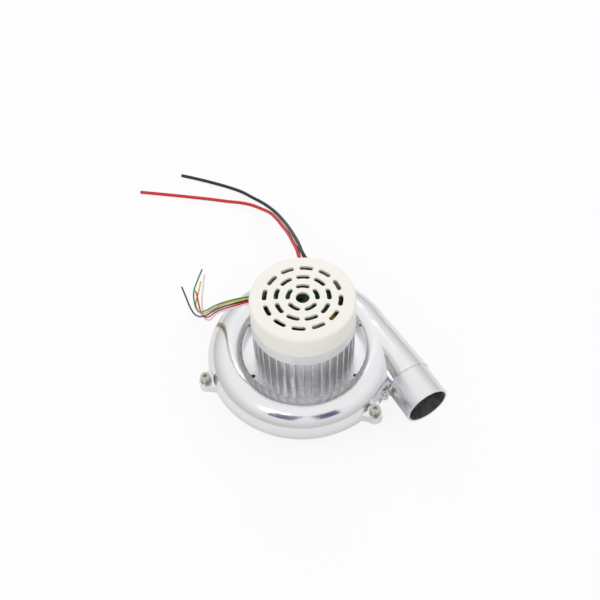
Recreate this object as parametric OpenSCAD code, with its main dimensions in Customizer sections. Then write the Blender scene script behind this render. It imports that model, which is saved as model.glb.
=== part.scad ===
// DC blower fan: a brushless motor in a finned housing stands on a cast scroll
// with a round section. Air enters through the collar underneath, is spun by a
// shrouded impeller with backward-curved blades and leaves through the outlet.
// Frame: +Z is the motor axis, the origin is on it at the foot of the collar,
// and the outlet blows along -Y.

/* [Scroll] */
// Radius of the ring, from its own centre to the middle of the round tube
ring_r = 56.2; // [55.5:0.1:57]
// Outside radius of the round tube
tube_r = 16.3; // [16:0.1:17]
// Distance of the ring's centre from the motor axis
ring_shift = 2.5; // [1:0.1:3]
// Direction in which the ring's centre stands off the motor axis, degrees
ring_shift_angle = 100; // [80:1:120]
// Wall of the castings
wall = 2.5; // [2:0.1:2.8]
// Radius of the air passage where it begins, behind the tongue
passage_start_r = 7; // [6.6:0.1:7.4]
// Radius of the air passage where it runs into the outlet
passage_end_r = 14; // [13:0.1:14.2]
// Angle from the outlet at which the air passage begins, degrees
passage_start_angle = 60; // [58:1:66]
// Radius of the round chamber in which the impeller turns
chamber_r = 53; // [51:0.5:54]

/* [Outlet] */
// Distance of the outlet's axis from the motor axis
outlet_x = 56; // [55.5:0.1:56.5]
// Length of the cast duct, from the motor axis to its end
duct_len = 59; // [57:0.5:62]
// Outside radius of the cast duct at the scroll
duct_root_r = 16; // [15.8:0.1:16.3]
// Outside radius of the cast duct at its end
duct_end_r = 18.4; // [18.2:0.1:19]
// Outside radius of the outlet tube
spigot_r = 17.3; // [16.8:0.1:17.5]
// Wall of the outlet tube
spigot_wall = 1.5; // [1:0.1:2]
// Free length of the outlet tube
spigot_len = 26; // [20:1:40]
// Depth to which the outlet tube is pressed into the duct
spigot_seat = 8; // [5:0.5:10]

/* [Inlet] */
// Height of the inlet collar under the scroll
collar_h = 8.7; // [8.5:0.1:12]
// Outside radius of the inlet collar
collar_r = 33; // [32:0.5:35]
// Radius of the inlet throat
throat_r = 20; // [19:0.1:20.5]
// Radius of the rounded mouth of the inlet
mouth_r = 4; // [2:0.5:5]
// Radius of the circle of tapped holes round the inlet
inlet_bolt_circle_r = 28.5; // [28:0.1:29]
// Radius of each tapped hole round the inlet
inlet_bolt_r = 1.65; // [1.2:0.05:2]
// Depth of each tapped hole round the inlet
inlet_bolt_depth = 6.5; // [4:0.5:7]

/* [Casing screws] */
// Distance of the lug screws from the ring's centre
lug_circle_r = 76.6; // [76:0.1:79]
// Radius of the round end of a lug
lug_r = 5.6; // [5.2:0.1:6.5]
// Thickness of each lug, above and below the parting plane
lug_t = 4; // [3:0.5:5]
// Half the width of a lug where it meets the scroll
lug_root_w = 13; // [10:0.5:15]
// Radius of the lug screws' thread
lug_screw_r = 2; // [1.5:0.1:2.2]

/* [Impeller] */
// Outside radius of the impeller
impeller_r = 37; // [35:0.5:39]
// Radius of the impeller's eye
eye_r = 20; // [19:0.1:20.5]
// Number of blades
blade_count = 9; // [7:1:11]
// Thickness of a blade
blade_t = 1.2; // [0.8:0.1:1.6]
// Height of the blades at the rim
blade_tip_h = 7; // [6:0.1:7.5]
// How far the shroud falls from the rim to the eye
eye_drop = 4.2; // [3:0.1:4.6]
// Thickness of the impeller's back plate
back_plate_t = 1.7; // [1.2:0.1:2]
// Thickness of the impeller's shroud
shroud_t = 1.2; // [0.8:0.1:1.4]
// Running gap round the impeller
running_gap = 0.8; // [0.5:0.1:1]

/* [Motor housing] */
// Outside radius of the motor housing, over its fins
housing_r = 38; // [37:0.5:39]
// Depth of the fins
fin_depth = 4.4; // [4:0.1:5]
// Number of fins
fin_count = 36; // [24:1:44]
// Thickness of a fin
fin_t = 1.1; // [0.8:0.1:1.6]
// Length of the fins
fin_len = 39; // [38:0.5:44]
// Height of the plain ring over the fins
band_h = 9.3; // [8:0.1:12]
// Wall of the housing between its fins and the stator
housing_wall = 4.2; // [4:0.1:4.6]
// Radius of the well in the scroll round the motor
well_r = 47.2; // [46.5:0.1:47.6]
// Width of the ledge in the scroll that carries the motor base
ledge_w = 6.2; // [5.8:0.1:7]
// Thickness of that ledge
ledge_t = 2.5; // [2:0.1:3]
// Thickness of the motor base's flange
flange_t = 2.5; // [2:0.1:3]

/* [Motor] */
// Radius of the shaft
shaft_r = 4; // [3.8:0.1:4]
// Outside radius of the ball bearings
bearing_r = 11; // [10.5:0.1:11.5]
// Width of the ball bearings
bearing_w = 7; // [6:0.5:7]
// Number of balls in a bearing
ball_count = 7; // [6:1:8]
// Length of the stator core and the rotor core
stack_len = 20; // [16:1:20]
// Number of stator teeth
tooth_count = 12; // [12:3:15]
// Radius of the stator's bore
stator_bore_r = 15; // [14.8:0.1:16]
// Air gap between the magnets and the stator
air_gap = 0.5; // [0.4:0.1:0.8]
// Number of magnets
magnet_count = 4; // [4:2:8]
// Thickness of the magnets
magnet_t = 3.3; // [2.5:0.1:3.5]

/* [Cap and board] */
// Height of the cap
cap_h = 18.7; // [17:0.1:22]
// Wall of the cap
cap_wall = 2; // [1.5:0.1:2.2]
// Radius of the cap's rounded top edge
cap_edge_r = 2; // [1:0.1:2.6]
// Radius of the hole in the middle of the cap
cap_hole_r = 4.9; // [3:0.1:6]
// Width of the cap's slots
slot_w = 3.4; // [2.5:0.1:4]
// Length of the cap's slots
slot_len = 10; // [8:0.5:10.5]
// Gap between the driver board and the cap's skirt
board_gap = 0.5; // [0.4:0.1:2]
// Thickness of the driver board
board_t = 1.6; // [1:0.1:2]
// Height of the driver board over the upper bracket
standoff_h = 8; // [6:0.5:9]

/* [Leads] */
// Radius of the two supply leads
lead_r = 1.5; // [1.2:0.1:1.6]
// Radius of the five signal wires
wire_r = 0.65; // [0.5:0.05:0.7]

/* [Hidden] */
$fn = 64;
e = 0.01;     // overshoot of a cut, so that no skin is left
slip = 0.05;  // clearance of a piece that slides into its seat

// Heights, from the floor up
parting_z = collar_h + tube_r;
underside_z = collar_h + 0.8;
underside_r = ring_r - 3;
base_z = parting_z + ledge_t;
floor_z = base_z + flange_t;
fin_top_z = floor_z + fin_len;
band_top_z = fin_top_z + band_h;
cap_top_z = band_top_z + cap_h;

// Impeller heights, down from the parting plane
plate_top_z = parting_z - running_gap;
plate_z = plate_top_z - back_plate_t;
rim_z = plate_z - blade_tip_h;
eye_z = rim_z - eye_drop;
eye_edge_r = eye_r + 2;
eye_ring_h = 3;
eye_ring_z = eye_z - eye_ring_h;
hub_r = 8;
hub_z = plate_z - 8.5;
washer_t = 0.8;
nut_h = 5;
nut_r = 5.77;
thread_r = 3;
thread_end_z = hub_z - washer_t - nut_h - 0.7;

// Motor heights
lower_bearing_z = base_z + 2;
lower_bearing_top_z = lower_bearing_z + bearing_w;
bracket_t = 3;
bracket_z = fin_top_z;
bracket_top_z = bracket_z + bracket_t;
spring_h = 1.5;
upper_bearing_z = bracket_z - spring_h - bearing_w;
stack_z = (lower_bearing_top_z + upper_bearing_z - stack_len) / 2;
stack_top_z = stack_z + stack_len;
board_z = bracket_top_z + standoff_h;
board_top_z = board_z + board_t;
cap_inside_z = cap_top_z - cap_wall;

// Radii that follow from the ones above
fin_root_r = housing_r - fin_depth;
housing_bore_r = fin_root_r - housing_wall;
register_r = well_r - ledge_w;
ring_x = ring_shift * cos(ring_shift_angle);
ring_y = ring_shift * sin(ring_shift_angle);
core_r = well_r + wall;
spigot_bore_r = spigot_r - spigot_wall;
spigot_seat_r = spigot_r - 0.3;
boss_r = bearing_r + 3;
lip_r = bearing_r - 2.5;
bracket_r = housing_r - 4;
skirt_r = bracket_r - slip;
cap_r = housing_r - 0.5;
board_r = bracket_r - cap_wall - board_gap;
shoulder_r = shaft_r + 1.6;
core_seat_r = shaft_r + 1;
magnet_r = stator_bore_r - air_gap;
rotor_core_r = magnet_r - magnet_t;
insulator_t = 0.8;
tooth_w = 4.6;
yoke_r = housing_bore_r - 4;
tip_r = stator_bore_r + 1.8;
coil_t = 1.7;
coil_gap = 0.2;
coil_start_r = tip_r + 0.6;
coil_len = yoke_r - 0.5 - coil_start_r;
coil_top_z = stack_top_z + insulator_t + coil_gap + coil_t;
ball_r = (bearing_r - shaft_r) * 0.283;
ball_circle_r = (bearing_r + shaft_r) / 2;
ball_gap = 0.05;

// Lug screws: three round the ring's centre, the one beside the crotch first
lug_angles = [-75.9, 48.5, 170.3];
lug_root_r = 64.6;
lug_flat_t = 0.8;
lug_spring_t = 1.1;
lug_head_h = 4;
lug_head_r = 3.5;
lug_washer_r = 4.5;
spot_depth = 0.3;
spot_r = lug_r + 0.2;
crotch_pos = [33.6, -61.9];
crotch_t = 2.4;
crotch_screw_r = 1.25;
crotch_head_h = 2.2;
crotch_boss_r = 2.6;
crotch_pocket_r = 2 * crotch_screw_r + 0.15;

// Small screws: thread, head and the circles that they stand on
small_screw_r = 1.5;
small_head_r = 2.8;
small_head_h = 1.6;
base_screw_circle_r = (register_r + well_r) / 2;
base_screw_count = 6;
housing_screw_circle_r = (housing_bore_r + fin_root_r) / 2;
housing_screw_count = 4;
housing_screw_len = 11;
bracket_screw_count = 3;
bracket_screw_angle = 15;
board_post_circle_r = board_r - 4.5;
board_post_count = 3;
board_post_angle = 110;
board_post_r = 2.5;
phase_circle_r = housing_bore_r - 7.4;
phase_wire_r = 0.8;
bracket_vent_r = 1.8;
bracket_vent_circle_r = boss_r + 4.5;

// Driver board: sizes of its components and the circles that they stand on
capacitor_r = 4.6;
capacitor_h = 9.5;
capacitor_circle_r = board_r - 10.5;
transistor_size = [6, 5, 2.3];
transistor_circle_r = board_r - 19;
chip_size = [8, 8, 1.4];
film_size = [5.5, 7, 7.5];
film_circle_r = board_r - 11;
terminal_size = [3, 3, 4.4];
header_size = [4, 11.2, 5.4];

// Slots of the cap: radius of each ring, number of slots, angle of the first
slot_rings = [[10.35, 5, 59.6], [18.6, 9, 59.6], [26.7, 12, 54.6]];

// Leads: clearance of their holes in the cap and the bundle of signal wires
lead_clearance = 0.3;
wire_exit_angle = 141;
wire_exit_z = 86;
wire_pitch = 1.6;
wire_places = 2;
wire_start_r = board_r - 6.7;
lead_start_gap = 0.3;

// Start of signal wire number j, counted from the middle: straight out through the cap
function wire_start(j) = [for (r = [wire_start_r, housing_r - 4, housing_r + 1])
  [r * cos(wire_exit_angle) - j * wire_pitch * sin(wire_exit_angle),
    r * sin(wire_exit_angle) + j * wire_pitch * cos(wire_exit_angle), wire_exit_z]];

// Routes of the leads, from the board out and along the floor
red_route = [
  [12, 21, 84], [16, 29.3, 85], [19.9, 37.5, 84.7], [21.8, 43.9, 82.4], [24, 49.2, 79],
  [28.2, 59.9, 72.7], [34.3, 78.5, 60.9], [41, 99, 47.5], [46.5, 121, 34], [50.5, 140.5, 23.5],
  [52, 156.5, 15.5], [50.5, 168.5, 10], [46, 182.5, 5.5], [39.5, 192.5, 3], [31, 201, 1.6],
  [20.5, 210, 1.6], [7, 221, 1.6], [-12.5, 236.5, 1.6], [-35, 254, 1.6]];
black_route = [
  [16, 19, 84], [20.2, 27.5, 85], [24, 35.5, 84.7], [25.2, 43.5, 83.8], [27.1, 50.5, 80.9],
  [31.8, 63.1, 73.3], [38.6, 83.5, 60.1], [45, 104.5, 46.5], [51, 127.5, 32], [54.5, 147.5, 21.5],
  [55.5, 164, 14], [54.5, 178.5, 8.5], [51.5, 191.5, 5], [48, 204, 2.5], [41.5, 215.5, 1.6],
  [31, 229, 1.6], [19.5, 242.5, 1.6], [8, 255, 1.6]];
green_route = concat(wire_start(-2), [
  [-34.2, 30.3, 84.6], [-40.3, 39.2, 75.6], [-45.5, 52, 60], [-47.2, 58.9, 50.6], [-48.5, 65, 42],
  [-49.7, 71.9, 32.8], [-50.5, 79, 24], [-50, 93, 10], [-47, 107.5, 2.8], [-42, 119.8, 0.9],
  [-34, 129.5, 0.7], [-25.5, 138.5, 0.7]]);
yellow_route = concat(wire_start(-1), [
  [-35.5, 29.2, 84.6], [-41.5, 38.3, 75.2], [-46, 50.5, 59.5], [-48, 57.3, 50],
  [-49.5, 63.5, 41.3], [-50.3, 71.1, 31.2], [-50.5, 79, 21.5], [-49.9, 86.2, 14], [-48.9, 94, 7],
  [-46.1, 107, 0.8], [-40, 115.6, 0.8], [-32.4, 126.5, 0.8]]);
black_wire_route = concat(wire_start(0), [
  [-35.9, 27.7, 84.2], [-42.1, 36.9, 74.4], [-47, 49.1, 59.1], [-49, 55.6, 49.8],
  [-50.5, 61.5, 41], [-51.7, 69.3, 30.5], [-52.5, 77.5, 20.5], [-52.9, 84.9, 13.2], [-53, 93, 6.5],
  [-52, 107, 1.3], [-50.5, 117.5, 0.7], [-49, 129.5, 0.7]]);
red_wire_route = concat(wire_start(1), [
  [-36.6, 26.4, 83.9], [-42.6, 35.4, 73.9], [-47.5, 47.9, 58.2], [-49.3, 54.2, 48.6],
  [-50.5, 60, 39.6], [-50.6, 69, 28.5], [-50, 78.5, 18], [-48.6, 86.4, 10.5], [-47, 94.5, 4],
  [-44.2, 105.4, 0.9], [-42, 113.1, 2.6], [-40.7, 119.1, 0.9]]);
white_route = concat(wire_start(2), [
  [-37.3, 25, 83.6], [-43.1, 34.2, 73.1], [-48, 46.9, 57.2], [-49.6, 52.8, 47.3],
  [-50.5, 58.3, 37.9], [-50.2, 67.5, 26.3], [-49, 77.5, 15.5], [-45, 94.5, 2.8],
  [-41.5, 104.5, 0.7], [-37, 113.5, 0.7], [-31.5, 123, 0.7], [-26.5, 132, 0.7]]);

// ---- Helpers ----

// Puts its children at every one of count places round the motor axis
module around(count, r, first = 0)
  for (i = [0 : count - 1]) rotate(first + 360 * i / count) translate([r, 0, 0]) children();

// Puts its children at every lug screw, with +X pointing away from the ring's centre
module at_lugs()
  translate([ring_x, ring_y, 0]) for (a = lug_angles) rotate(a) translate([lug_circle_r, 0, 0]) children();

// A plain washer or ring standing on the plane z = 0
module ring(outer, inner, h)
  difference() {
    cylinder(r = outer, h = h);
    translate([0, 0, -1]) cylinder(r = inner, h = h + 2);
  }

// A countersunk screw with its head down, flush with the plane z = 0
module flush_screw(len)
  union() {
    cylinder(r1 = small_head_r, r2 = small_screw_r, h = small_head_h);
    cylinder(r = small_screw_r, h = len);
  }

// The countersunk hole for such a screw
module flush_hole(len)
  union() {
    translate([0, 0, -e]) cylinder(r1 = small_head_r + slip, r2 = small_screw_r + slip, h = small_head_h + e);
    translate([0, 0, -1]) cylinder(r = small_screw_r + slip, h = len + 1);
  }

// A socket-head cap screw with the underside of its head on the plane z = 0
module socket_screw(thread, head, head_h, len)
  difference() {
    union() {
      cylinder(r = head, h = head_h);
      translate([0, 0, -len]) cylinder(r = thread, h = len);
    }
    translate([0, 0, head_h / 2]) cylinder(r = head / 2, h = head_h, $fn = 6);
  }

// Skin of a tube through sections, which are lists of points with one length
module skin(sections) {
  n = len(sections[0]);
  last = len(sections) - 1;
  polyhedron(
    points = [for (s = sections) each s],
    faces = concat(
      [[for (i = [0 : n - 1]) i]],
      [for (k = [0 : last - 1], i = [0 : n - 1]) let (j = (i + 1) % n)
        each [[k * n + i, (k + 1) * n + i, (k + 1) * n + j], [k * n + i, (k + 1) * n + j, k * n + j]]],
      [[for (i = [n - 1 : -1 : 0]) last * n + i]]));
}

// Unit vector of v
function unit(v) = v / norm(v);

// Direction of a route at its point i
function heading(route, i) =
  unit(route[min(i + 1, len(route) - 1)] - route[max(i - 1, 0)]);

// Plain round tube of radius r along a route
module cord(route, r) {
  sides = 8;
  skin([for (i = [0 : len(route) - 1])
    let (t = heading(route, i), side = unit(cross([0, 0, 1], t)), up = cross(t, side))
    [for (k = [0 : sides - 1]) let (a = -360 * (k + 0.5) / sides)
      route[i] + r * (cos(a) * side + sin(a) * up)]]);
}

// ---- Scroll ----

// Round tube of radius r bent into the scroll's ring
module scroll_ring(r)
  translate([ring_x, ring_y, parting_z])
    rotate_extrude($fn = 72) translate([ring_r, 0]) circle(r = r, $fn = 48);

// Cast duct from the scroll to the outlet
module duct()
  translate([outlet_x, 0, parting_z]) rotate([90, 0, 0])
    cylinder(r1 = duct_root_r, r2 = duct_end_r, h = duct_len);

// Distance from the motor axis to the outside of the scroll at angle a
function outside_r(a) = ring_r + tube_r + ring_shift * cos(a - ring_shift_angle);

// Radius of the air passage at angle a, counted clockwise from the outlet
function passage_r(a) =
  passage_start_r + (passage_end_r - passage_start_r) * (a - passage_start_angle) / (360 - passage_start_angle);

// One round section of the passage, centred at [x, y] and spread along dir
function passage_section(x, y, r, dir) =
  [for (k = [0 : 19]) let (b = 360 * k / 20)
    [x + r * cos(b) * dir[0], y + r * cos(b) * dir[1], parting_z + r * sin(b)]];

// Air passage: it widens from the tongue right round into the outlet
module passage() {
  steps = 24;
  duct_steps = 3;
  reach = duct_len - spigot_seat;
  end_x = outside_r(0) - wall - passage_end_r;
  skin(concat(
    [for (i = [0 : steps]) let (
        a = passage_start_angle + (360 - passage_start_angle) * i / steps,
        r = passage_r(a),
        c = outside_r(-a) - wall - r)
      passage_section(c * cos(a), -c * sin(a), r, [cos(a), -sin(a)])],
    [for (i = [1 : duct_steps]) let (u = i / duct_steps)
      passage_section(end_x + (outlet_x - end_x) * u, -reach * u - (u == 1 ? e : 0),
        passage_end_r + (spigot_bore_r - passage_end_r) * u, [1, 0])]));
}

// Outline of one lug, with its screw at the origin and the scroll towards -X
module lug_outline()
  union() {
    circle(r = lug_r);
    polygon([[0, lug_r], [0, -lug_r],
      [lug_root_r - lug_circle_r, -lug_root_w], [lug_root_r - lug_circle_r, lug_root_w]]);
  }

// Web in the crotch between the scroll and the duct, round the small screw
module crotch_outline()
  union() {
    translate(crotch_pos) circle(r = crotch_boss_r);
    polygon([
      crotch_pos + [-5, 0], crotch_pos + [-1.2, -2.2], crotch_pos + [crotch_boss_r, 0],
      [crotch_pos[0] + crotch_boss_r, -duct_len], [outlet_x - duct_root_r, -duct_len],
      [outlet_x - duct_root_r, -duct_len + 9], crotch_pos + [-5, 9]]);
  }

// Outside of both castings, before anything is cut out
module scroll_body() {
  scroll_ring(tube_r);
  duct();
  translate([0, 0, parting_z - lug_t]) {
    at_lugs() linear_extrude(2 * lug_t + spot_depth) lug_outline();
    translate([0, 0, lug_t - crotch_t]) linear_extrude(2 * crotch_t) crotch_outline();
  }
}

// Seat of the outlet tube in the duct
module spigot_bore()
  translate([outlet_x, -(duct_len - spigot_seat), parting_z]) rotate([90, 0, 0])
    cylinder(r = spigot_seat_r + slip, h = spigot_seat + 1);

// Room round the impeller, below the parting plane
module chamber() {
  floor_edge = rim_z - shroud_t - running_gap;
  neck_r = eye_r + shroud_t + running_gap;
  rotate_extrude($fn = 96) polygon([
    [0, parting_z + 1], [chamber_r, parting_z + 1], [chamber_r, floor_edge], [impeller_r, floor_edge],
    [neck_r, floor_edge - eye_drop], [neck_r, eye_ring_z - running_gap], [0, eye_ring_z - running_gap]]);
}

module upper_casing()
  color("gainsboro")
  difference() {
    union() {
      scroll_body();
      translate([0, 0, parting_z]) cylinder(r = core_r, h = ledge_t, $fn = 96);
    }
    difference() {
      passage();
      translate([0, 0, parting_z]) cylinder(r = core_r, h = 2 * tube_r, $fn = 96);
    }
    spigot_bore();
    translate([0, 0, base_z]) cylinder(r = well_r, h = 2 * tube_r, $fn = 96);
    translate([0, 0, parting_z - 1]) cylinder(r = register_r, h = ledge_t + 2, $fn = 96);
    translate([0, 0, parting_z + lug_t]) at_lugs() cylinder(r = spot_r, h = tube_r);
    translate([0, 0, parting_z - 1]) at_lugs() cylinder(r = lug_screw_r + 0.25, h = tube_r);
    translate([crotch_pos[0], crotch_pos[1], parting_z - 1]) cylinder(r = crotch_screw_r + 0.15, h = tube_r);
    translate([crotch_pos[0], crotch_pos[1], parting_z + crotch_t]) cylinder(r = crotch_pocket_r, h = tube_r);
    translate([0, 0, parting_z]) around(base_screw_count, base_screw_circle_r) flush_hole(2 * ledge_t);
    translate([-150, -150, -100]) cube([300, 300, 100 + parting_z]);
  }

module lower_casing()
  color("gainsboro")
  difference() {
    union() {
      scroll_body();
      translate([ring_x, ring_y, underside_z]) cylinder(r = underside_r, h = parting_z - underside_z, $fn = 96);
      cylinder(r = collar_r, h = underside_z + 1);
    }
    passage();
    chamber();
    spigot_bore();
    translate([0, 0, -1]) cylinder(r = throat_r, h = parting_z, $fn = 96);
    inlet_mouth();
    around(4, inlet_bolt_circle_r, 45) translate([0, 0, -1]) cylinder(r = inlet_bolt_r, h = inlet_bolt_depth + 1);
    translate([0, 0, parting_z - 2 * lug_t]) at_lugs() cylinder(r = lug_screw_r + slip, h = 3 * lug_t);
    translate([crotch_pos[0], crotch_pos[1], parting_z - tube_r]) cylinder(r = crotch_screw_r + slip, h = 2 * tube_r);
    translate([-150, -150, parting_z]) cube([300, 300, 100]);
  }

// Rounded entry of the inlet
module inlet_mouth()
  rotate_extrude($fn = 96) difference() {
    translate([throat_r - 1, -1]) square([mouth_r + 1, mouth_r + 1]);
    translate([throat_r + mouth_r, mouth_r]) circle(r = mouth_r);
  }

module outlet_spigot()
  color("silver")
  translate([outlet_x, -duct_len, parting_z]) rotate([90, 0, 0]) difference() {
    union() {
      cylinder(r = spigot_r, h = spigot_len);
      translate([0, 0, -spigot_seat]) cylinder(r = spigot_seat_r, h = spigot_seat + 1);
    }
    translate([0, 0, -spigot_seat - 1]) cylinder(r = spigot_bore_r, h = spigot_seat + spigot_len + 2);
  }

module casing_screws()
  color("lightgray")
  translate([0, 0, parting_z + lug_t + lug_flat_t + lug_spring_t]) at_lugs()
    socket_screw(lug_screw_r, lug_head_r, lug_head_h, 2 * lug_t + lug_flat_t + lug_spring_t);

module casing_spring_washers()
  color("silver")
  translate([0, 0, parting_z + lug_t + lug_flat_t]) at_lugs()
    difference() {
      ring(lug_head_r, lug_screw_r + 0.1, lug_spring_t);
      rotate(20) translate([0, -0.3, -1]) cube([2 * lug_head_r, 0.6, lug_spring_t + 2]);
    }

module casing_flat_washers()
  color("silver")
  translate([0, 0, parting_z + lug_t]) at_lugs() ring(lug_washer_r, lug_screw_r + 0.15, lug_flat_t);

module crotch_screw()
  color("lightgray")
  translate([crotch_pos[0], crotch_pos[1], parting_z + crotch_t])
    socket_screw(crotch_screw_r, 1.8 * crotch_screw_r, crotch_head_h, 2 * crotch_t);

// ---- Motor ----

module motor_base()
  color("gainsboro")
  difference() {
    union() {
      translate([0, 0, base_z]) cylinder(r = well_r - slip, h = flange_t, $fn = 96);
      translate([0, 0, parting_z]) cylinder(r = register_r - slip, h = ledge_t, $fn = 96);
      translate([0, 0, floor_z]) cylinder(r = boss_r, h = lower_bearing_top_z - floor_z);
      translate([0, 0, floor_z]) cylinder(r = housing_bore_r - slip, h = 3);
    }
    translate([0, 0, floor_z]) ring(housing_bore_r - 2, boss_r, 4);
    translate([0, 0, lower_bearing_z]) cylinder(r = bearing_r, h = bearing_w + 1);
    translate([0, 0, parting_z - 1]) cylinder(r = lip_r, h = 2 * ledge_t + 1);
    translate([0, 0, base_z - ledge_t]) around(base_screw_count, base_screw_circle_r)
      cylinder(r = small_screw_r + slip, h = 2 * ledge_t + flange_t);
    translate([0, 0, parting_z]) around(housing_screw_count, housing_screw_circle_r, 45)
      flush_hole(housing_screw_len);
  }

module base_screws()
  color("dimgray")
  translate([0, 0, parting_z]) around(base_screw_count, base_screw_circle_r)
    flush_screw(ledge_t + flange_t - 0.3);

module motor_housing()
  color("silver")
  difference() {
    union() {
      translate([0, 0, floor_z]) linear_extrude(fin_len) intersection() {
        circle(r = housing_r, $fn = 96);
        union() {
          circle(r = fin_root_r, $fn = 96);
          around(fin_count, fin_root_r - 1) translate([0, -fin_t / 2])
            square([housing_r - fin_root_r + 3, fin_t]);
        }
      }
      translate([0, 0, fin_top_z]) cylinder(r = housing_r, h = band_h, $fn = 96);
    }
    translate([0, 0, floor_z - 1]) cylinder(r = housing_bore_r, h = fin_len + 2, $fn = 96);
    translate([0, 0, fin_top_z]) cylinder(r = bracket_r, h = band_h + 1, $fn = 96);
    translate([0, 0, parting_z]) around(housing_screw_count, housing_screw_circle_r, 45)
      cylinder(r = small_screw_r + slip, h = housing_screw_len + 1);
    translate([0, 0, bracket_z - 6]) around(bracket_screw_count, housing_screw_circle_r, bracket_screw_angle)
      cylinder(r = small_screw_r + slip, h = 7);
  }

module housing_screws()
  color("dimgray")
  translate([0, 0, parting_z]) around(housing_screw_count, housing_screw_circle_r, 45)
    flush_screw(housing_screw_len);

module upper_bracket()
  color("lightsteelblue")
  difference() {
    union() {
      translate([0, 0, bracket_z]) cylinder(r = bracket_r - slip, h = bracket_t);
      translate([0, 0, upper_bearing_z]) cylinder(r = boss_r, h = bearing_w + spring_h + 1);
    }
    translate([0, 0, upper_bearing_z - 1]) cylinder(r = bearing_r, h = bearing_w + spring_h + 1);
    translate([0, 0, bracket_z - 1]) cylinder(r = lip_r, h = bracket_t + 2);
    translate([0, 0, bracket_z - 1]) {
      around(bracket_screw_count, housing_screw_circle_r, bracket_screw_angle)
        cylinder(r = small_screw_r + 0.15, h = bracket_t + 2);
      around(board_post_count, board_post_circle_r, board_post_angle)
        cylinder(r = small_screw_r - 0.2, h = bracket_t + 2);
      around(3, phase_circle_r, 30) cylinder(r = phase_wire_r + 1.2, h = bracket_t + 2);
      around(6, bracket_vent_circle_r) cylinder(r = bracket_vent_r, h = bracket_t + 2);
    }
  }

module bracket_screws()
  color("dimgray")
  translate([0, 0, bracket_top_z]) around(bracket_screw_count, housing_screw_circle_r, bracket_screw_angle)
    socket_screw(small_screw_r, small_head_r - 0.5, small_head_h, bracket_t + 5);

// Outline of the stator: yoke, teeth and tooth tips
module stator_outline() {
  difference() {
    circle(r = housing_bore_r);
    circle(r = yoke_r);
  }
  around(tooth_count, tip_r - 0.5) translate([0, -tooth_w / 2])
    square([yoke_r - tip_r + 1, tooth_w]);
  difference() {
    circle(r = tip_r);
    circle(r = stator_bore_r);
    around(tooth_count, 0, 180 / tooth_count) translate([0, -0.9]) square([tip_r + 1, 1.8]);
  }
}

module stator_core()
  color("slategray")
  translate([0, 0, stack_z]) linear_extrude(stack_len) stator_outline();

module stator_insulators()
  color("ivory")
  for (z = [stack_z - insulator_t, stack_top_z])
    translate([0, 0, z]) linear_extrude(insulator_t) stator_outline();

// One coil round each tooth
module stator_windings()
  color("peru")
  around(tooth_count, coil_start_r) {
    inner_w = tooth_w + 0.4;
    inner_h = stack_len + 2 * (insulator_t + coil_gap);
    translate([0, 0, stack_z + stack_len / 2]) difference() {
      translate([0, -inner_w / 2 - coil_t, -inner_h / 2 - coil_t])
        cube([coil_len, inner_w + 2 * coil_t, inner_h + 2 * coil_t]);
      translate([-1, -inner_w / 2, -inner_h / 2]) cube([coil_len + 2, inner_w, inner_h]);
    }
  }

module phase_leads()
  color("peru")
  around(3, phase_circle_r, 30) translate([0, 0, coil_top_z])
    cylinder(r = phase_wire_r, h = board_z - coil_top_z);

module rotor_core()
  color("slategray")
  translate([0, 0, stack_z]) ring(rotor_core_r, core_seat_r, stack_len);

module rotor_magnets()
  color("dimgray")
  translate([0, 0, stack_z]) difference() {
    ring(magnet_r, rotor_core_r, stack_len);
    around(magnet_count, 0, 45) translate([0, -0.4, -1]) cube([magnet_r + 1, 0.8, stack_len + 2]);
  }

module shaft()
  color("lightgray")
  rotate_extrude() polygon([
    [0, thread_end_z], [thread_r, thread_end_z], [thread_r, hub_z], [shaft_r, hub_z],
    [shaft_r, lower_bearing_top_z], [shoulder_r, lower_bearing_top_z], [shoulder_r, stack_z],
    [core_seat_r, stack_z], [core_seat_r, upper_bearing_z], [shaft_r, upper_bearing_z],
    [shaft_r, upper_bearing_z + bearing_w], [shaft_r - 0.4, upper_bearing_z + bearing_w],
    [shaft_r - 0.4, upper_bearing_z + bearing_w + 0.9], [shaft_r, upper_bearing_z + bearing_w + 0.9],
    [shaft_r, bracket_top_z - 1], [0, bracket_top_z - 1]]);

module shaft_spacer()
  color("silver")
  translate([0, 0, plate_top_z]) ring(shaft_r + 2, shaft_r, lower_bearing_z - plate_top_z);

// Ball bearing: its two rings have a groove for the balls
module bearing_groove()
  rotate_extrude() translate([ball_circle_r, bearing_w / 2]) circle(r = ball_r + ball_gap);

module bearing_outer(z)
  translate([0, 0, z]) difference() {
    ring(bearing_r, ball_circle_r + 0.75 * ball_r, bearing_w);
    bearing_groove();
  }

module bearing_inner(z)
  translate([0, 0, z]) difference() {
    ring(ball_circle_r - 0.75 * ball_r, shaft_r, bearing_w);
    bearing_groove();
  }

module bearing_balls(z)
  around(ball_count, ball_circle_r) translate([0, 0, z + bearing_w / 2]) sphere(r = ball_r, $fn = 32);

module lower_bearing_outer() color("silver") bearing_outer(lower_bearing_z);
module lower_bearing_inner() color("silver") bearing_inner(lower_bearing_z);
module lower_bearing_balls() color("lightgray") bearing_balls(lower_bearing_z);
module upper_bearing_outer() color("silver") bearing_outer(upper_bearing_z);
module upper_bearing_inner() color("silver") bearing_inner(upper_bearing_z);
module upper_bearing_balls() color("lightgray") bearing_balls(upper_bearing_z);

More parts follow.
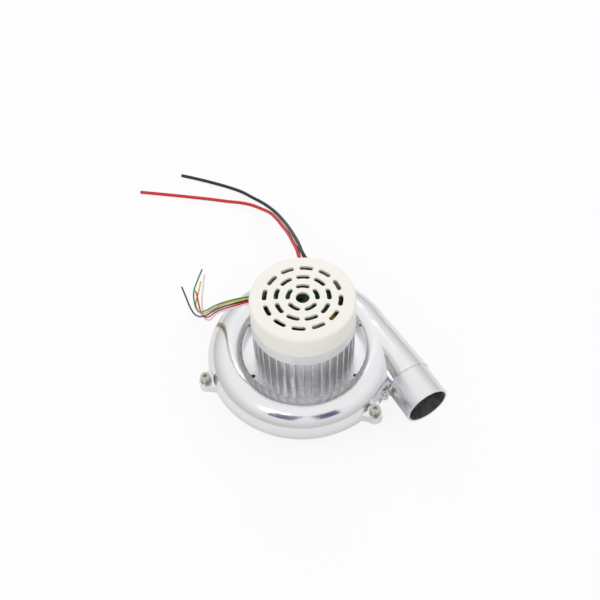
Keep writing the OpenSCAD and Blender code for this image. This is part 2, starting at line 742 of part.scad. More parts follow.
// Wave spring that loads the upper bearing
module wave_spring() {
  steps = 36;
  strip_t = 0.4;
  swing = (spring_h - strip_t) / 2;
  color("silver")
  translate([0, 0, bracket_z - spring_h / 2])
    polyhedron(
      points = [for (i = [0 : steps - 1]) let (a = 360 * i / steps, z = swing * sin(3 * a)) each [
        [lip_r * cos(a), lip_r * sin(a), z - strip_t / 2],
        [(bearing_r - 0.2) * cos(a), (bearing_r - 0.2) * sin(a), z - strip_t / 2],
        [(bearing_r - 0.2) * cos(a), (bearing_r - 0.2) * sin(a), z + strip_t / 2],
        [lip_r * cos(a), lip_r * sin(a), z + strip_t / 2]]],
      faces = [for (i = [0 : steps - 1], k = [0 : 3]) let (
          j = (i + 1) % steps, p = 4 * i + k, q = 4 * i + (k + 1) % 4,
          r = 4 * j + (k + 1) % 4, s = 4 * j + k)
        each [[p, q, r], [p, r, s]]]);
}

module circlip()
  color("dimgray")
  translate([0, 0, upper_bearing_z + bearing_w]) difference() {
    ring(shaft_r + 1.6, shaft_r - 0.4, 0.8);
    translate([0, -1.2, -1]) cube([shaft_r + 3, 2.4, 3]);
  }

// ---- Impeller ----

// Outline of one blade: an arc that trails the clockwise spin
module blade_outline() {
  arc_r = 30;
  lean = 12;
  inner_r = eye_r - 1;
  centre = [inner_r - lean, sqrt(arc_r * arc_r - lean * lean)];
  intersection() {
    difference() {
      translate(centre) circle(r = arc_r + blade_t / 2, $fn = 96);
      translate(centre) circle(r = arc_r - blade_t / 2, $fn = 96);
    }
    difference() {
      circle(r = impeller_r - 0.4);
      circle(r = inner_r);
    }
    translate([inner_r / 2, -5]) square(impeller_r);
  }
}

// Everything below the shroud's inside, except the hub
module below_shroud()
  rotate_extrude($fn = 96) polygon([
    [hub_r + e, eye_ring_z - 5], [impeller_r + 5, eye_ring_z - 5], [impeller_r + 5, rim_z],
    [impeller_r, rim_z], [eye_edge_r, eye_z], [hub_r + e, eye_z]]);

module impeller()
  color("silver")
  difference() {
    root = back_plate_t / 2;
    union() {
      translate([0, 0, plate_z]) cylinder(r = impeller_r, h = back_plate_t, $fn = 96);
      translate([0, 0, eye_z]) linear_extrude(plate_z - eye_z + root)
        around(blade_count, 0) blade_outline();
      rotate_extrude() difference() {
        translate([0, hub_z]) square([hub_r + 6, plate_z - hub_z + root]);
        translate([hub_r + 6, hub_z + 2.5]) circle(r = 6);
        translate([hub_r, hub_z - 1]) square([7, 3.5]);
      }
    }
    below_shroud();
    translate([0, 0, hub_z - 1]) cylinder(r = shaft_r, h = 20);
  }

module impeller_shroud()
  color("silver")
  rotate_extrude($fn = 96) polygon([
    [impeller_r, rim_z], [eye_edge_r, eye_z], [eye_r, eye_z], [eye_r, eye_ring_z],
    [eye_r + shroud_t, eye_ring_z], [eye_r + shroud_t, eye_z - shroud_t],
    [eye_edge_r, eye_z - shroud_t], [impeller_r, rim_z - shroud_t]]);

module impeller_washer()
  color("silver")
  translate([0, 0, hub_z - washer_t]) ring(hub_r - 1.5, thread_r, washer_t);

module impeller_nut()
  color("gold")
  translate([0, 0, hub_z - washer_t - nut_h]) difference() {
    cylinder(r = nut_r, h = nut_h, $fn = 6);
    translate([0, 0, -1]) cylinder(r = thread_r, h = nut_h + 2);
  }

// ---- Driver board ----

module driver_board()
  color("darkgreen")
  translate([0, 0, board_z]) difference() {
    cylinder(r = board_r, h = board_t);
    around(board_post_count, board_post_circle_r, board_post_angle)
      translate([0, 0, -1]) cylinder(r = small_screw_r + 0.1, h = board_t + 2);
  }

module board_standoffs()
  color("gold")
  translate([0, 0, bracket_top_z]) around(board_post_count, board_post_circle_r, board_post_angle)
    difference() {
      cylinder(r = board_post_r, h = standoff_h, $fn = 6);
      translate([0, 0, 1]) cylinder(r = small_screw_r, h = standoff_h);
    }

module board_screws()
  color("lightgray")
  translate([0, 0, board_top_z]) around(board_post_count, board_post_circle_r, board_post_angle)
    socket_screw(small_screw_r, small_head_r - 0.3, 1.6, board_t + 4);

// A block standing on the plane z = 0, centred on the Z axis
module box_on_board(size)
  translate([-size[0] / 2, -size[1] / 2, 0]) cube(size);

module capacitors()
  color([0.12, 0.12, 0.14])
  translate([0, 0, board_top_z])
    for (a = [180, 212, 243]) rotate(a) translate([capacitor_circle_r, 0, 0])
      cylinder(r = capacitor_r, h = capacitor_h);

module power_transistors()
  color([0.1, 0.1, 0.1])
  translate([0, 0, board_top_z]) around(6, transistor_circle_r, 12) box_on_board(transistor_size);

module controller_chip()
  color([0.08, 0.08, 0.08])
  translate([0, 0, board_top_z]) box_on_board(chip_size);

module film_capacitors()
  color("goldenrod")
  translate([0, 0, board_top_z])
    for (a = [-90, -62, -38]) rotate(a) translate([film_circle_r + film_size[0] / 2, 0, 0])
      box_on_board(film_size);

// Solder terminal behind the start of each supply lead
module supply_terminals()
  color("silver")
  for (route = [red_route, black_route]) {
    t = route[1] - route[0];
    translate([route[0][0], route[0][1], board_top_z]) rotate(atan2(t[1], t[0]))
      translate([-terminal_size[0] / 2 - lead_start_gap, 0, 0]) box_on_board(terminal_size);
  }

// Header that the signal wires start from
module signal_header()
  color("white")
  translate([0, 0, board_top_z]) rotate(wire_exit_angle)
    translate([wire_start_r - lead_start_gap - header_size[0] / 2, 0, 0]) box_on_board(header_size);

// ---- Cap ----

// One curved slot through the cap's top, at radius r
module vent_slot(r) {
  half = (slot_len - slot_w) / 2 / r * 180 / PI;
  rotate(-half) rotate_extrude(angle = 2 * half) translate([r - slot_w / 2, 0]) square([slot_w, cap_h]);
  for (a = [-half, half]) rotate(a) translate([r, 0, 0]) cylinder(r = slot_w / 2, h = cap_h);
}

// Profile of the cap: top, wall and the skirt that plugs into the housing
module cap_profile() {
  skirt_h = 3;
  foot_h = 1.5;
  difference() {
    union() {
      translate([0, band_top_z]) square([cap_r, cap_h - cap_edge_r]);
      translate([0, band_top_z]) square([cap_r - cap_edge_r, cap_h]);
      translate([cap_r - cap_edge_r, cap_top_z - cap_edge_r]) circle(r = cap_edge_r);
    }
    translate([-1, band_top_z - 1]) square([cap_r - cap_wall + 1, cap_h - cap_wall + 1]);
  }
  translate([skirt_r - cap_wall, band_top_z - skirt_h]) square([cap_wall, skirt_h + foot_h]);
  translate([skirt_r - cap_wall, band_top_z]) square([cap_r - skirt_r, foot_h]);
}

module vent_cap()
  color("ivory")
  difference() {
    rotate_extrude($fn = 96) cap_profile();
    translate([0, 0, cap_inside_z - 1]) {
      cylinder(r = cap_hole_r, h = cap_h);
      for (s = slot_rings) around(s[1], 0, s[2]) vent_slot(s[0]);
    }
    lead_hole(red_route);
    lead_hole(black_route);
    hull() for (j = [-wire_places, wire_places])
      rotate(wire_exit_angle) translate([housing_r - 2 * cap_wall, j * wire_pitch, wire_exit_z])
        rotate([0, 90, 0]) cylinder(r = wire_r + lead_clearance, h = 3 * cap_wall);
  }

// Hole in the cap's wall along the second stretch of a supply lead's route
module lead_hole(route) {
  t = route[2] - route[1];
  translate(route[1]) rotate([0, acos(t[2] / norm(t)), atan2(t[1], t[0])])
    cylinder(r = lead_r + lead_clearance, h = norm(t));
}

// ---- Leads ----

module red_lead() color("red") cord(red_route, lead_r);
module black_lead() color([0.13, 0.14, 0.17]) cord(black_route, lead_r);
module green_wire() color("green") cord(green_route, wire_r);
module yellow_wire() color("yellow") cord(yellow_route, wire_r);
module black_wire() color([0.13, 0.14, 0.17]) cord(black_wire_route, wire_r);
module red_wire() color("red") cord(red_wire_route, wire_r);
module white_wire() color("white") cord(white_route, wire_r);

upper_casing();
lower_casing();
outlet_spigot();
casing_screws();
casing_spring_washers();
casing_flat_washers();
crotch_screw();
motor_base();
base_screws();
motor_housing();
housing_screws();
upper_bracket();
bracket_screws();
stator_core();
stator_insulators();
stator_windings();
phase_leads();
rotor_core();
rotor_magnets();
shaft();
shaft_spacer();
lower_bearing_outer();
lower_bearing_inner();
lower_bearing_balls();
upper_bearing_outer();
upper_bearing_inner();
upper_bearing_balls();
wave_spring();
circlip();
impeller();
impeller_shroud();
impeller_washer();
impeller_nut();
driver_board();
board_standoffs();
board_screws();
capacitors();
power_transistors();
controller_chip();
film_capacitors();
supply_terminals();
signal_header();
vent_cap();
red_lead();
black_lead();
green_wire();
yellow_wire();
black_wire();
red_wire();
white_wire();
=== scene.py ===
# %% [markdown]
# # A dc blower fan
# A small blower moves air with a wheel that spins inside a scroll, a round
# passage that grows wider on its way to the outlet. The motor stands in the
# middle of the scroll in a finned housing, and a plastic cap over it hides the
# circuit board that drives it. The solids come packed from a CAD model. This
# script loads them, keeps the ones whose form is right, builds finer pieces
# over the rest, and gives each piece the finish of its real material.

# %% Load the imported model
import math

import bmesh
import bpy
from mathutils import Matrix, Vector


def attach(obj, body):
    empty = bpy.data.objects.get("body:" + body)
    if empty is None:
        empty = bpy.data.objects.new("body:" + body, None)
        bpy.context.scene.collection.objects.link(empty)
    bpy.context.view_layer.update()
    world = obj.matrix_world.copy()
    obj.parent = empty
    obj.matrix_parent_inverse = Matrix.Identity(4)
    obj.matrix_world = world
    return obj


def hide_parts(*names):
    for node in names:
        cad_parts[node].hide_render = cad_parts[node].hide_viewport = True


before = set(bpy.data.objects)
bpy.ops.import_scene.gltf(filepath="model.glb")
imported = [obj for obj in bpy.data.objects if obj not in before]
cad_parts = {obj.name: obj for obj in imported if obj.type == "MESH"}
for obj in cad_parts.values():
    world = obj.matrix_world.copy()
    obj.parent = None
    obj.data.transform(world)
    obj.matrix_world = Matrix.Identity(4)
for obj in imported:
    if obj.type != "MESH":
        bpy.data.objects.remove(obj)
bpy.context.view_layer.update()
MM = 0.001

# %% [markdown]
# ## Helpers
# Colours are picked as sRGB hex values, the way a paint program shows them, but
# Blender calculates with linear light, so one function converts them. Another
# adds a shader or geometry node with its settings and its links in one line.


# %% Colours and nodes
def linear(code):
    """'#rrggbb' in sRGB as the linear RGBA tuple that Blender's nodes expect."""
    channels = [int(code[i:i + 2], 16) / 255 for i in (1, 3, 5)]
    return tuple(c / 12.92 if c <= 0.04045 else ((c + 0.055) / 1.055) ** 2.4 for c in channels) + (1.0,)


def add(tree, kind, inputs=None, **settings):
    """Adds a node. inputs holds values or the sockets that feed it; settings are its own options."""
    node = tree.nodes.new(kind)
    for key, value in settings.items():
        setattr(node, key, value)
    for key, value in (inputs or {}).items():
        socket = node.inputs[key]
        if isinstance(value, bpy.types.NodeSocket):
            tree.links.new(value, socket)
        else:
            socket.default_value = value
    return node


def material(name, **sockets):
    """A new material with one Principled shader whose sockets are set by name."""
    made = bpy.data.materials.new(name)
    made.use_nodes = True
    shader = made.node_tree.nodes["Principled BSDF"]
    for key, value in sockets.items():
        shader.inputs[key.replace("_", " ")].default_value = value
    return made, made.node_tree, shader


# %% [markdown]
# ## The camera
# The blower stands on a white table and is seen from the front left, high
# enough to look down on the cap. The lens is a short telephoto, so circles stay
# calm ellipses. The small shift places the blower a little below the middle of
# the frame.

# %% Camera
CAMERA_PLACE = Vector((-151.2, -285.4, 508.6)) * MM
CAMERA_TILT = math.radians(34.48)
CAMERA_TURN = math.radians(-30.4)

lens = bpy.data.cameras.new("camera")
lens.lens = 45.19
lens.sensor_width = 36
lens.shift_x = -0.038
lens.shift_y = 0.075
camera = bpy.data.objects.new("camera", lens)
camera.location = CAMERA_PLACE
camera.rotation_euler = (CAMERA_TILT, 0, CAMERA_TURN)
bpy.context.collection.objects.link(camera)
bpy.context.scene.camera = camera
print("camera at", tuple(round(v, 3) for v in CAMERA_PLACE))

# %% [markdown]
# ## The leads
# Two thick leads carry the supply and five thin wires carry the signals. Each
# is a soft copper strand in a round sleeve, so the right tool is a curve with a
# round bevel: it stays exactly as thick along its whole length, and its
# material can follow the sleeve. The routes are the ones of the CAD model: out
# of the cap, down in one sweep, then flat along the table.

# %% Routes of the leads, in millimetres
LEAD_D = 3.0
WIRE_D = 1.3
WIRE_EXIT_TURN = math.radians(141)
WIRE_EXIT_Z = 86
WIRE_PITCH = 1.6
WIRE_RADII = (24.8, 34, 39)
BODY = "blower"


def wire_start(place):
    """The straight start of a signal wire, which lies place pitches beside the middle one."""
    side = place * WIRE_PITCH
    turn = WIRE_EXIT_TURN
    return [
        (r * math.cos(turn) - side * math.sin(turn), r * math.sin(turn) + side * math.cos(turn), WIRE_EXIT_Z)
        for r in WIRE_RADII]


ROUTES = {
    "red_lead": [
        (12, 21, 84), (16, 29.3, 85), (19.9, 37.5, 84.7), (21.8, 43.9, 82.4), (24, 49.2, 79),
        (28.2, 59.9, 72.7), (34.3, 78.5, 60.9), (41, 99, 47.5), (46.5, 121, 34), (50.5, 140.5, 23.5),
        (52, 156.5, 15.5), (50.5, 168.5, 10), (46, 182.5, 5.5), (39.5, 192.5, 3), (31, 201, 1.6),
        (20.5, 210, 1.6), (7, 221, 1.6), (-12.5, 236.5, 1.6), (-35, 254, 1.6)],
    "black_lead": [
        (16, 19, 84), (20.2, 27.5, 85), (24, 35.5, 84.7), (25.2, 43.5, 83.8), (27.1, 50.5, 80.9),
        (31.8, 63.1, 73.3), (38.6, 83.5, 60.1), (45, 104.5, 46.5), (51, 127.5, 32), (54.5, 147.5, 21.5),
        (55.5, 164, 14), (54.5, 178.5, 8.5), (51.5, 191.5, 5), (48, 204, 2.5), (41.5, 215.5, 1.6),
        (31, 229, 1.6), (19.5, 242.5, 1.6), (8, 255, 1.6)],
    "green_wire": wire_start(-2) + [
        (-34.2, 30.3, 84.6), (-40.3, 39.2, 75.6), (-45.5, 52, 60), (-47.2, 58.9, 50.6), (-48.5, 65, 42),
        (-49.7, 71.9, 32.8), (-50.5, 79, 24), (-50, 93, 10), (-47, 107.5, 2.8), (-42, 119.8, 0.9),
        (-34, 129.5, 0.7), (-25.5, 138.5, 0.7)],
    "yellow_wire": wire_start(-1) + [
        (-35.5, 29.2, 84.6), (-41.5, 38.3, 75.2), (-46, 50.5, 59.5), (-48, 57.3, 50), (-49.5, 63.5, 41.3),
        (-50.3, 71.1, 31.2), (-50.5, 79, 21.5), (-49.9, 86.2, 14), (-48.9, 94, 7), (-46.1, 107, 0.8),
        (-40, 115.6, 0.8), (-32.4, 126.5, 0.8)],
    "black_wire": wire_start(0) + [
        (-35.9, 27.7, 84.2), (-42.1, 36.9, 74.4), (-47, 49.1, 59.1), (-49, 55.6, 49.8), (-50.5, 61.5, 41),
        (-51.7, 69.3, 30.5), (-52.5, 77.5, 20.5), (-52.9, 84.9, 13.2), (-53, 93, 6.5), (-52, 107, 1.3),
        (-50.5, 117.5, 0.7), (-49, 129.5, 0.7)],
    "red_wire": wire_start(1) + [
        (-36.6, 26.4, 83.9), (-42.6, 35.4, 73.9), (-47.5, 47.9, 58.2), (-49.3, 54.2, 48.6),
        (-50.5, 60, 39.6), (-50.6, 69, 28.5), (-50, 78.5, 18), (-48.6, 86.4, 10.5), (-47, 94.5, 4),
        (-44.2, 105.4, 0.9), (-42, 113.1, 2.6), (-40.7, 119.1, 0.9)],
    "white_wire": wire_start(2) + [
        (-37.3, 25, 83.6), (-43.1, 34.2, 73.1), (-48, 46.9, 57.2), (-49.6, 52.8, 47.3),
        (-50.5, 58.3, 37.9), (-50.2, 67.5, 26.3), (-49, 77.5, 15.5), (-45, 94.5, 2.8), (-41.5, 104.5, 0.7),
        (-37, 113.5, 0.7), (-31.5, 123, 0.7), (-26.5, 132, 0.7)],
}


# %% Sleeves as curves
def sleeve(name, route, diameter):
    """A round sleeve along the route, as a curve of one smooth open spline."""
    data = bpy.data.curves.new(name, "CURVE")
    data.dimensions = "3D"
    data.resolution_u = 8
    data.bevel_depth = diameter * MM / 2
    data.bevel_resolution = 4
    data.use_fill_caps = True
    spline = data.splines.new("BEZIER")
    spline.bezier_points.add(len(route) - 1)
    for point, place in zip(spline.bezier_points, route):
        point.co = Vector(place) * MM
        point.handle_left_type = "AUTO"
        point.handle_right_type = "AUTO"
    made = bpy.data.objects.new(name, data)
    bpy.context.collection.objects.link(made)
    return made


sleeves = {}
for name, route in ROUTES.items():
    thick = LEAD_D if name.endswith("lead") else WIRE_D
    sleeves[name] = sleeve(name + "_sleeve", route, thick)
print("leads and wires:", len(sleeves))

# %% [markdown]
# ## Polished cast aluminium
# The scroll is cast aluminium that was ground and polished to a soft mirror. It
# shows as a metal with low roughness. Hand polishing leaves it slightly wavy
# and here and there duller, so a slow noise moves the roughness and a faint
# bump, a few millimetres wide, bends the reflections.


# %% Metals
def bare_metal(name, tint, roughness, spread=0.0, patch_mm=12.0, bump=0.0, grain_mm=1.0):
    """A metal whose roughness wanders by spread over patches and whose surface has a fine grain."""
    made, tree, shader = material(name, Metallic=1.0, Base_Color=linear(tint), Roughness=roughness)
    place = add(tree, "ShaderNodeTexCoord").outputs["Object"]
    if spread:
        patches = add(tree, "ShaderNodeTexNoise", {"Vector": place, "Scale": 1 / (patch_mm * MM), "Detail": 3.0})
        wander = add(tree, "ShaderNodeMapRange", {
            "Value": patches.outputs["Fac"], "From Min": 0.3, "From Max": 0.7,
            "To Min": roughness - spread, "To Max": roughness + spread})
        tree.links.new(wander.outputs["Result"], shader.inputs["Roughness"])
    if bump:
        grain = add(tree, "ShaderNodeTexNoise", {"Vector": place, "Scale": 1 / (grain_mm * MM), "Detail": 4.0})
        relief = add(tree, "ShaderNodeBump", {
            "Height": grain.outputs["Fac"], "Strength": bump, "Distance": 0.05 * MM})
        tree.links.new(relief.outputs["Normal"], shader.inputs["Normal"])
    return made


polished_cast = bare_metal(
    "polished_cast_aluminium", "#EDEDEF", 0.17, spread=0.04, patch_mm=14, bump=0.08, grain_mm=5)
turned_aluminium = bare_metal(
    "turned_aluminium", "#E9EAEC", 0.26, spread=0.04, patch_mm=8, bump=0.06, grain_mm=0.6)
matt_aluminium = bare_metal(
    "extruded_aluminium", "#ECECEC", 0.42, spread=0.05, patch_mm=5, bump=0.15, grain_mm=0.8)
stainless = bare_metal("stainless_steel", "#BDBBB4", 0.26, spread=0.05, patch_mm=2, bump=0.1, grain_mm=0.4)
black_oxide = bare_metal("blackened_steel", "#3A3A3C", 0.42, spread=0.05, patch_mm=2)
lamination = bare_metal("stamped_lamination_steel", "#8B8E94", 0.4, spread=0.06, patch_mm=3)
magnet_coat = bare_metal("nickel_coated_magnet", "#8E8D88", 0.3, spread=0.04, patch_mm=3)
enamelled_copper = bare_metal("enamelled_copper_wire", "#B5672F", 0.3, spread=0.05, patch_mm=1)
turned_brass = bare_metal("turned_brass", "#C9A75A", 0.28, spread=0.05, patch_mm=2)
print("metals made")

# %% [markdown]
# ## Plastics and sleeves
# The cap is moulded ABS in warm ivory: not quite smooth, with a satin sheen and
# a very faint cloudiness in its colour. The sleeves of the thick leads are
# silicone rubber, which is matt and slightly waxy, and those of the thin wires
# are harder and glossier. The board has a glossy green solder mask.


# %% Plastics
def moulded(name, tint, shade, roughness, grain_mm=0.6, bump=0.1, patch_mm=9.0):
    """A plastic or rubber whose colour drifts from tint to shade, with a fine skin."""
    made, tree, shader = material(name, Roughness=roughness)
    place = add(tree, "ShaderNodeTexCoord").outputs["Object"]
    clouds = add(tree, "ShaderNodeTexNoise", {"Vector": place, "Scale": 1 / (patch_mm * MM), "Detail": 3.0})
    colour = add(tree, "ShaderNodeMix", data_type="RGBA")
    for socket, value in (("A", tint), ("B", shade)):
        [s for s in colour.inputs if s.name == socket and s.type == "RGBA"][0].default_value = linear(value)
    tree.links.new(clouds.outputs["Fac"], colour.inputs["Factor"])
    tree.links.new([s for s in colour.outputs if s.type == "RGBA"][0], shader.inputs["Base Color"])
    skin = add(tree, "ShaderNodeTexNoise", {"Vector": place, "Scale": 1 / (grain_mm * MM), "Detail": 3.0})
    relief = add(tree, "ShaderNodeBump", {"Height": skin.outputs["Fac"], "Strength": bump, "Distance": 0.03 * MM})
    tree.links.new(relief.outputs["Normal"], shader.inputs["Normal"])
    return made


ivory_abs = moulded("ivory_abs", "#F7F5EE", "#F2EFE6", 0.42, patch_mm=22)
nylon = moulded("natural_nylon", "#E6E0CC", "#D9D2BA", 0.5)
red_silicone = moulded("red_silicone", "#D8262B", "#C41E24", 0.46, patch_mm=6)
black_silicone = moulded("black_silicone", "#20232B", "#16181E", 0.46, patch_mm=6)
green_pvc = moulded("green_pvc", "#1F8A4C", "#1A7A42", 0.35, patch_mm=4)
yellow_pvc = moulded("yellow_pvc", "#E3C63A", "#D6B72E", 0.35, patch_mm=4)
white_pvc = moulded("white_pvc", "#E9DDDC", "#DFD2D1", 0.35, patch_mm=4)
solder_mask = moulded("green_solder_mask", "#2C6A48", "#1F5638", 0.25, patch_mm=3)
black_epoxy = moulded("black_moulded_epoxy", "#26272B", "#1B1C20", 0.4, patch_mm=2)
yellow_film = moulded("yellow_film_capacitor", "#B8A43C", "#A08E2E", 0.3, patch_mm=2)
print("plastics made")

# %% Sleeves get their colours and ride on the blower
SLEEVE_FINISH = {"red_lead": red_silicone, "black_lead": black_silicone, "green_wire": green_pvc,
                 "yellow_wire": yellow_pvc, "black_wire": black_silicone, "red_wire": red_silicone,
                 "white_wire": white_pvc}
for name, made in sleeves.items():
    made.data.materials.append(SLEEVE_FINISH[name])
    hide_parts(name)
    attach(made, BODY)

# %% [markdown]
# ## Solids that keep their CAD form
# Most inner pieces are turned or flat and already have the right form, so they
# keep it and only get a finish.

# %% Finishes of the CAD solids
CAD_FINISH = {
    turned_aluminium: ["motor_base", "upper_bracket", "impeller", "impeller_shroud"],
    stainless: ["crotch_screw", "bracket_screws", "shaft", "shaft_spacer", "wave_spring", "impeller_washer",
                "board_screws", "supply_terminals", "lower_bearing_outer", "lower_bearing_inner",
                "lower_bearing_balls", "upper_bearing_outer", "upper_bearing_inner", "upper_bearing_balls",
                "casing_screws", "casing_spring_washers", "casing_flat_washers"],
    black_oxide: ["base_screws", "housing_screws", "circlip"],
    lamination: ["stator_core", "rotor_core"],
    magnet_coat: ["rotor_magnets"],
    nylon: ["stator_insulators", "signal_header"],
    enamelled_copper: ["stator_windings", "phase_leads"],
    turned_brass: ["impeller_nut", "board_standoffs"],
    solder_mask: ["driver_board"],
    black_epoxy: ["capacitors", "power_transistors", "controller_chip"],
    yellow_film: ["film_capacitors"],
}
for finish, names in CAD_FINISH.items():
    for name in names:
        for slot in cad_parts[name].material_slots:
            slot.material = finish
print("CAD solids finished:", sum(len(names) for names in CAD_FINISH.values()))

# %% [markdown]
# ## Smooth castings
# CAD solids arrive as loose triangles, which a polished surface would show as
# facets. A copy is welded at its corners, and edges stay sharp only where the
# casting has a real edge.

# %% Welded copies
WELD = 1e-6


def welded_copy(node, name, finish, smooth_angle=30):
    """A copy of a CAD solid with its corners merged and its round faces shaded smooth."""
    source = bmesh.new()
    source.from_mesh(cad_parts[node].data)
    bmesh.ops.remove_doubles(source, verts=source.verts, dist=WELD)
    source.verts.index_update()
    corners = [v.co.copy() for v in source.verts]
    faces = [[v.index for v in f.verts] for f in source.faces]
    source.free()
    mesh = bpy.data.meshes.new(name)
    mesh.from_pydata(corners, [], faces)
    mesh.polygons.foreach_set("use_smooth", [True] * len(mesh.polygons))
    mesh.set_sharp_from_angle(angle=math.radians(smooth_angle))
    mesh.materials.append(finish)
    made = bpy.data.objects.new(name, mesh)
    bpy.context.collection.objects.link(made)
    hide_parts(node)
    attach(made, BODY)
    return made


upper_scroll = welded_copy("upper_casing", "upper_scroll", polished_cast)
lower_scroll = welded_copy("lower_casing", "lower_scroll", polished_cast)
outlet_tube = welded_copy("outlet_spigot", "outlet_tube", turned_aluminium)
cap_shell = welded_copy("vent_cap", "cap_shell", ivory_abs)
print("welded copies:", 4)

# %% [markdown]
# ## The finned housing
# The housing is a turned tube under a plain band, with thirty-six fins round
# it. One profile spun round the motor axis gives the tube and the band. The
# fins are one fin that Geometry Nodes copies to the points of a circle, so their
# number, depth and thickness stay inputs. Each fin ends in a rounded edge, which
# is what catches the light as a thin pale line.

# %% Sizes of the housing, in millimetres
FLOOR_Z = 30.0
FIN_TOP_Z = 69.0
BAND_TOP_Z = 78.3
HOUSING_R = 38.0
FIN_ROOT_R = 33.6
BORE_R = 29.4
BRACKET_R = 34.0
CHAMFER = 0.4
FIN_COUNT = 36
FIN_T = 1.1
LATHE_STEPS = 144


# %% Tube and band from one profile
def lathe(profile):
    """A closed profile of (radius, height) points in millimetres, spun round the Z axis."""
    made = bmesh.new()
    rings = []
    for k in range(LATHE_STEPS):
        turn = 2 * math.pi * k / LATHE_STEPS
        rings.append([
            made.verts.new((r * MM * math.cos(turn), r * MM * math.sin(turn), z * MM)) for r, z in profile])
    for k, ring in enumerate(rings):
        after = rings[(k + 1) % LATHE_STEPS]
        for i in range(len(profile)):
            j = (i + 1) % len(profile)
            made.faces.new((ring[i], after[i], after[j], ring[j]))
    bmesh.ops.recalc_face_normals(made, faces=made.faces)
    return made


housing = lathe([
    (FIN_ROOT_R, FLOOR_Z), (FIN_ROOT_R, FIN_TOP_Z), (HOUSING_R, FIN_TOP_Z), (HOUSING_R, BAND_TOP_Z - CHAMFER),
    (HOUSING_R - CHAMFER, BAND_TOP_Z), (BRACKET_R, BAND_TOP_Z), (BRACKET_R, FIN_TOP_Z), (BORE_R, FIN_TOP_Z),
    (BORE_R, FLOOR_Z)])


# %% Fins as a Geometry Nodes pattern
fins = bpy.data.node_groups.new("fins", "GeometryNodeTree")
FIN_INPUTS = {"Fins": ("NodeSocketInt", FIN_COUNT), "Root Radius": ("NodeSocketFloat", FIN_ROOT_R * MM),
              "Depth": ("NodeSocketFloat", (HOUSING_R - FIN_ROOT_R) * MM),
              "Thickness": ("NodeSocketFloat", FIN_T * MM), "Length": ("NodeSocketFloat", (FIN_TOP_Z - FLOOR_Z) * MM),
              "Finish": ("NodeSocketMaterial", matt_aluminium)}
identifiers = {label: fins.interface.new_socket(name=label, in_out="INPUT", socket_type=kind).identifier
               for label, (kind, value) in FIN_INPUTS.items()}
fins.interface.new_socket(name="Geometry", in_out="OUTPUT", socket_type="NodeSocketGeometry")
given = add(fins, "NodeGroupInput").outputs


def calculate(tree, operation, first, second):
    """The result of one calculation on two numbers or sockets."""
    return add(tree, "ShaderNodeMath", {0: first, 1: second}, operation=operation).outputs[0]


tip_r = calculate(fins, "MULTIPLY", given["Thickness"], 0.5)
reach = calculate(fins, "SUBTRACT", given["Depth"], tip_r)
middle = calculate(fins, "MULTIPLY", reach, 0.5)
blade = add(fins, "GeometryNodeMeshCube", {"Size": add(fins, "ShaderNodeCombineXYZ", {
    "X": reach, "Y": given["Thickness"], "Z": given["Length"]}).outputs[0]})
blade_out = add(fins, "GeometryNodeTransform", {
    "Geometry": blade.outputs["Mesh"], "Translation": add(fins, "ShaderNodeCombineXYZ", {"X": middle}).outputs[0]})
tip = add(fins, "GeometryNodeMeshCylinder", {
    "Vertices": 12, "Radius": tip_r, "Depth": given["Length"]})
tip_out = add(fins, "GeometryNodeTransform", {
    "Geometry": tip.outputs["Mesh"], "Translation": add(fins, "ShaderNodeCombineXYZ", {"X": reach}).outputs[0]})
one_fin = add(fins, "GeometryNodeJoinGeometry", {"Geometry": blade_out.outputs[0]})
fins.links.new(tip_out.outputs[0], one_fin.inputs["Geometry"])
circle = add(fins, "GeometryNodeMeshCircle", {"Vertices": given["Fins"], "Radius": given["Root Radius"]})
step = calculate(fins, "DIVIDE", 2 * math.pi, given["Fins"])
turn = calculate(fins, "MULTIPLY", add(fins, "GeometryNodeInputIndex").outputs[0], step)
copies = add(fins, "GeometryNodeInstanceOnPoints", {
    "Points": circle.outputs["Mesh"], "Instance": one_fin.outputs[0],
    "Rotation": add(fins, "ShaderNodeCombineXYZ", {"Z": turn}).outputs[0]})
solid = add(fins, "GeometryNodeRealizeInstances", {"Geometry": copies.outputs[0]})
coated = add(fins, "GeometryNodeSetMaterial", {"Geometry": solid.outputs[0], "Material": given["Finish"]})
add(fins, "NodeGroupOutput", {"Geometry": coated.outputs[0]})

carrier = bpy.data.objects.new("fin_pattern", bpy.data.meshes.new("fin_pattern"))
bpy.context.collection.objects.link(carrier)
pattern = carrier.modifiers.new("fins", "NODES")
pattern.node_group = fins
for label, (kind, value) in FIN_INPUTS.items():
    pattern[identifiers[label]] = value
fin_mesh = bpy.data.meshes.new_from_object(carrier.evaluated_get(bpy.context.evaluated_depsgraph_get()))
fin_mesh.transform(Matrix.Translation((0, 0, (FLOOR_Z + FIN_TOP_Z) / 2 * MM)))
carrier.modifiers.remove(pattern)
bpy.data.objects.remove(carrier)
print("fin faces:", len(fin_mesh.polygons))

# %% Housing put together
housing.from_mesh(fin_mesh)
housing_mesh = bpy.data.meshes.new("finned_housing")
housing.to_mesh(housing_mesh)
housing.free()
housing_mesh.materials.clear()
housing_mesh.materials.append(matt_aluminium)
housing_mesh.polygons.foreach_set("material_index", [0] * len(housing_mesh.polygons))
housing_mesh.polygons.foreach_set("use_smooth", [True] * len(housing_mesh.polygons))
housing_mesh.set_sharp_from_angle(angle=math.radians(35))
finned_housing = bpy.data.objects.new("finned_housing", housing_mesh)
bpy.context.collection.objects.link(finned_housing)
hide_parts("motor_housing")
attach(finned_housing, BODY)

# %% [markdown]
# ## Table and light
# A white table under a white sky keeps the light soft. Metal only shows what it
# mirrors, so the world has a gentle gradient: bright overhead, a little darker
# towards the horizon.

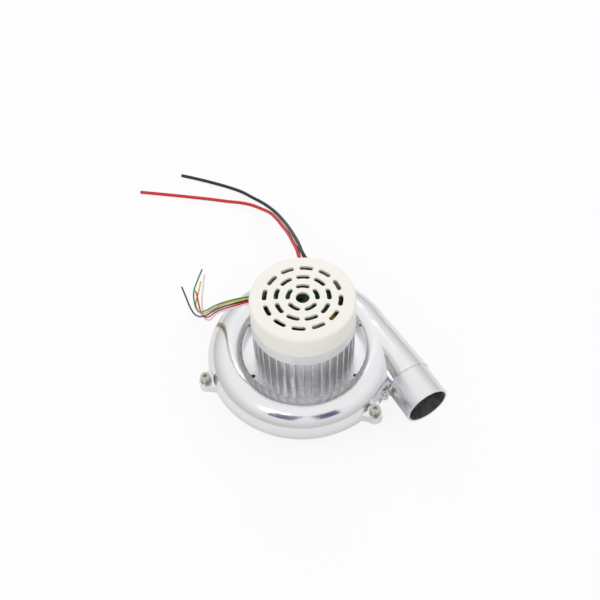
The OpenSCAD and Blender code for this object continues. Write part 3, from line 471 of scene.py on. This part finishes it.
# %% Table
FLOOR_HALF = 3.0
floor_mesh = bpy.data.meshes.new("table")
floor_mesh.from_pydata([(-FLOOR_HALF, -FLOOR_HALF, 0), (FLOOR_HALF, -FLOOR_HALF, 0),
                        (FLOOR_HALF, FLOOR_HALF, 0), (-FLOOR_HALF, FLOOR_HALF, 0)], [], [(0, 1, 2, 3)])
table = bpy.data.objects.new("table", floor_mesh)
bpy.context.collection.objects.link(table)
paper, paper_tree, paper_shader = material("white_paper", Base_Color=linear("#F4F4F4"), Roughness=0.9)
rays = add(paper_tree, "ShaderNodeLightPath")
seen = add(paper_tree, "ShaderNodeMath", {0: rays.outputs["Is Camera Ray"], 1: 0.86}, operation="MULTIPLY")
glow = add(paper_tree, "ShaderNodeEmission", {"Color": (1, 1, 1, 1), "Strength": 1.0})
mixed = add(paper_tree, "ShaderNodeMixShader", {
    0: seen.outputs[0], 1: paper_shader.outputs["BSDF"], 2: glow.outputs["Emission"]})
paper_tree.links.new(mixed.outputs[0], paper_tree.nodes["Material Output"].inputs["Surface"])
floor_mesh.materials.append(paper)

# %% World and lamps
world = bpy.data.worlds.new("white_studio")
world.use_nodes = True
bpy.context.scene.world = world
sky = world.node_tree
background = sky.nodes["Background"]
up = add(sky, "ShaderNodeSeparateXYZ", {0: add(sky, "ShaderNodeTexCoord").outputs["Generated"]})
background.inputs["Color"].default_value = (1, 1, 1, 1)
height = add(sky, "ShaderNodeMapRange", {"Value": up.outputs["Z"], "From Min": -0.1, "From Max": 0.8,
                                         "To Min": 0.5, "To Max": 0.96})
path = add(sky, "ShaderNodeLightPath")
level = add(sky, "ShaderNodeMix", data_type="FLOAT")
level.inputs["B"].default_value = 1.0
sky.links.new(path.outputs["Is Camera Ray"], level.inputs["Factor"])
sky.links.new(height.outputs["Result"], level.inputs["A"])
sky.links.new(level.outputs["Result"], background.inputs["Strength"])


def softbox(name, place, aim, size, watts):
    """A square area lamp at a place in metres that points at aim."""
    lamp = bpy.data.lights.new(name, "AREA")
    lamp.size = size
    lamp.energy = watts
    made = bpy.data.objects.new(name, lamp)
    made.location = place
    made.rotation_euler = (Vector(aim) - Vector(place)).to_track_quat("-Z", "Y").to_euler()
    bpy.context.collection.objects.link(made)


def card(name, place, aim, width, height, tint):
    """A dark card that only mirrors show, as the maker's camera stand does in the polished scroll."""
    mesh = bpy.data.meshes.new(name)
    mesh.from_pydata([(x * width / 2, y * height / 2, 0) for x, y in ((-1, -1), (1, -1), (1, 1), (-1, 1))],
                     [], [(0, 1, 2, 3)])
    mesh.materials.append(material(name, Base_Color=linear(tint), Roughness=0.9)[0])
    made = bpy.data.objects.new(name, mesh)
    made.location = place
    made.rotation_euler = (Vector(aim) - Vector(place)).to_track_quat("-Z", "Y").to_euler()
    made.visible_camera = False
    made.visible_diffuse = False
    made.visible_shadow = False
    bpy.context.collection.objects.link(made)


CREST = (-0.032, -0.055, 0.039)
softbox("key", (-0.5, -0.2, 0.9), (0, 0, 0.03), 0.25, 0.8)
softbox("back", (0.4, 0.7, 0.7), (0, 0, 0.03), 0.25, 0.8)
card("left_card", (-0.32, -0.24, 0.48), CREST, 0.24, 0.24, "#4A5080")
card("right_card", (-0.02, -0.42, 0.47), CREST, 0.2, 0.24, "#4A5080")
bpy.context.scene.view_settings.view_transform = "Standard"
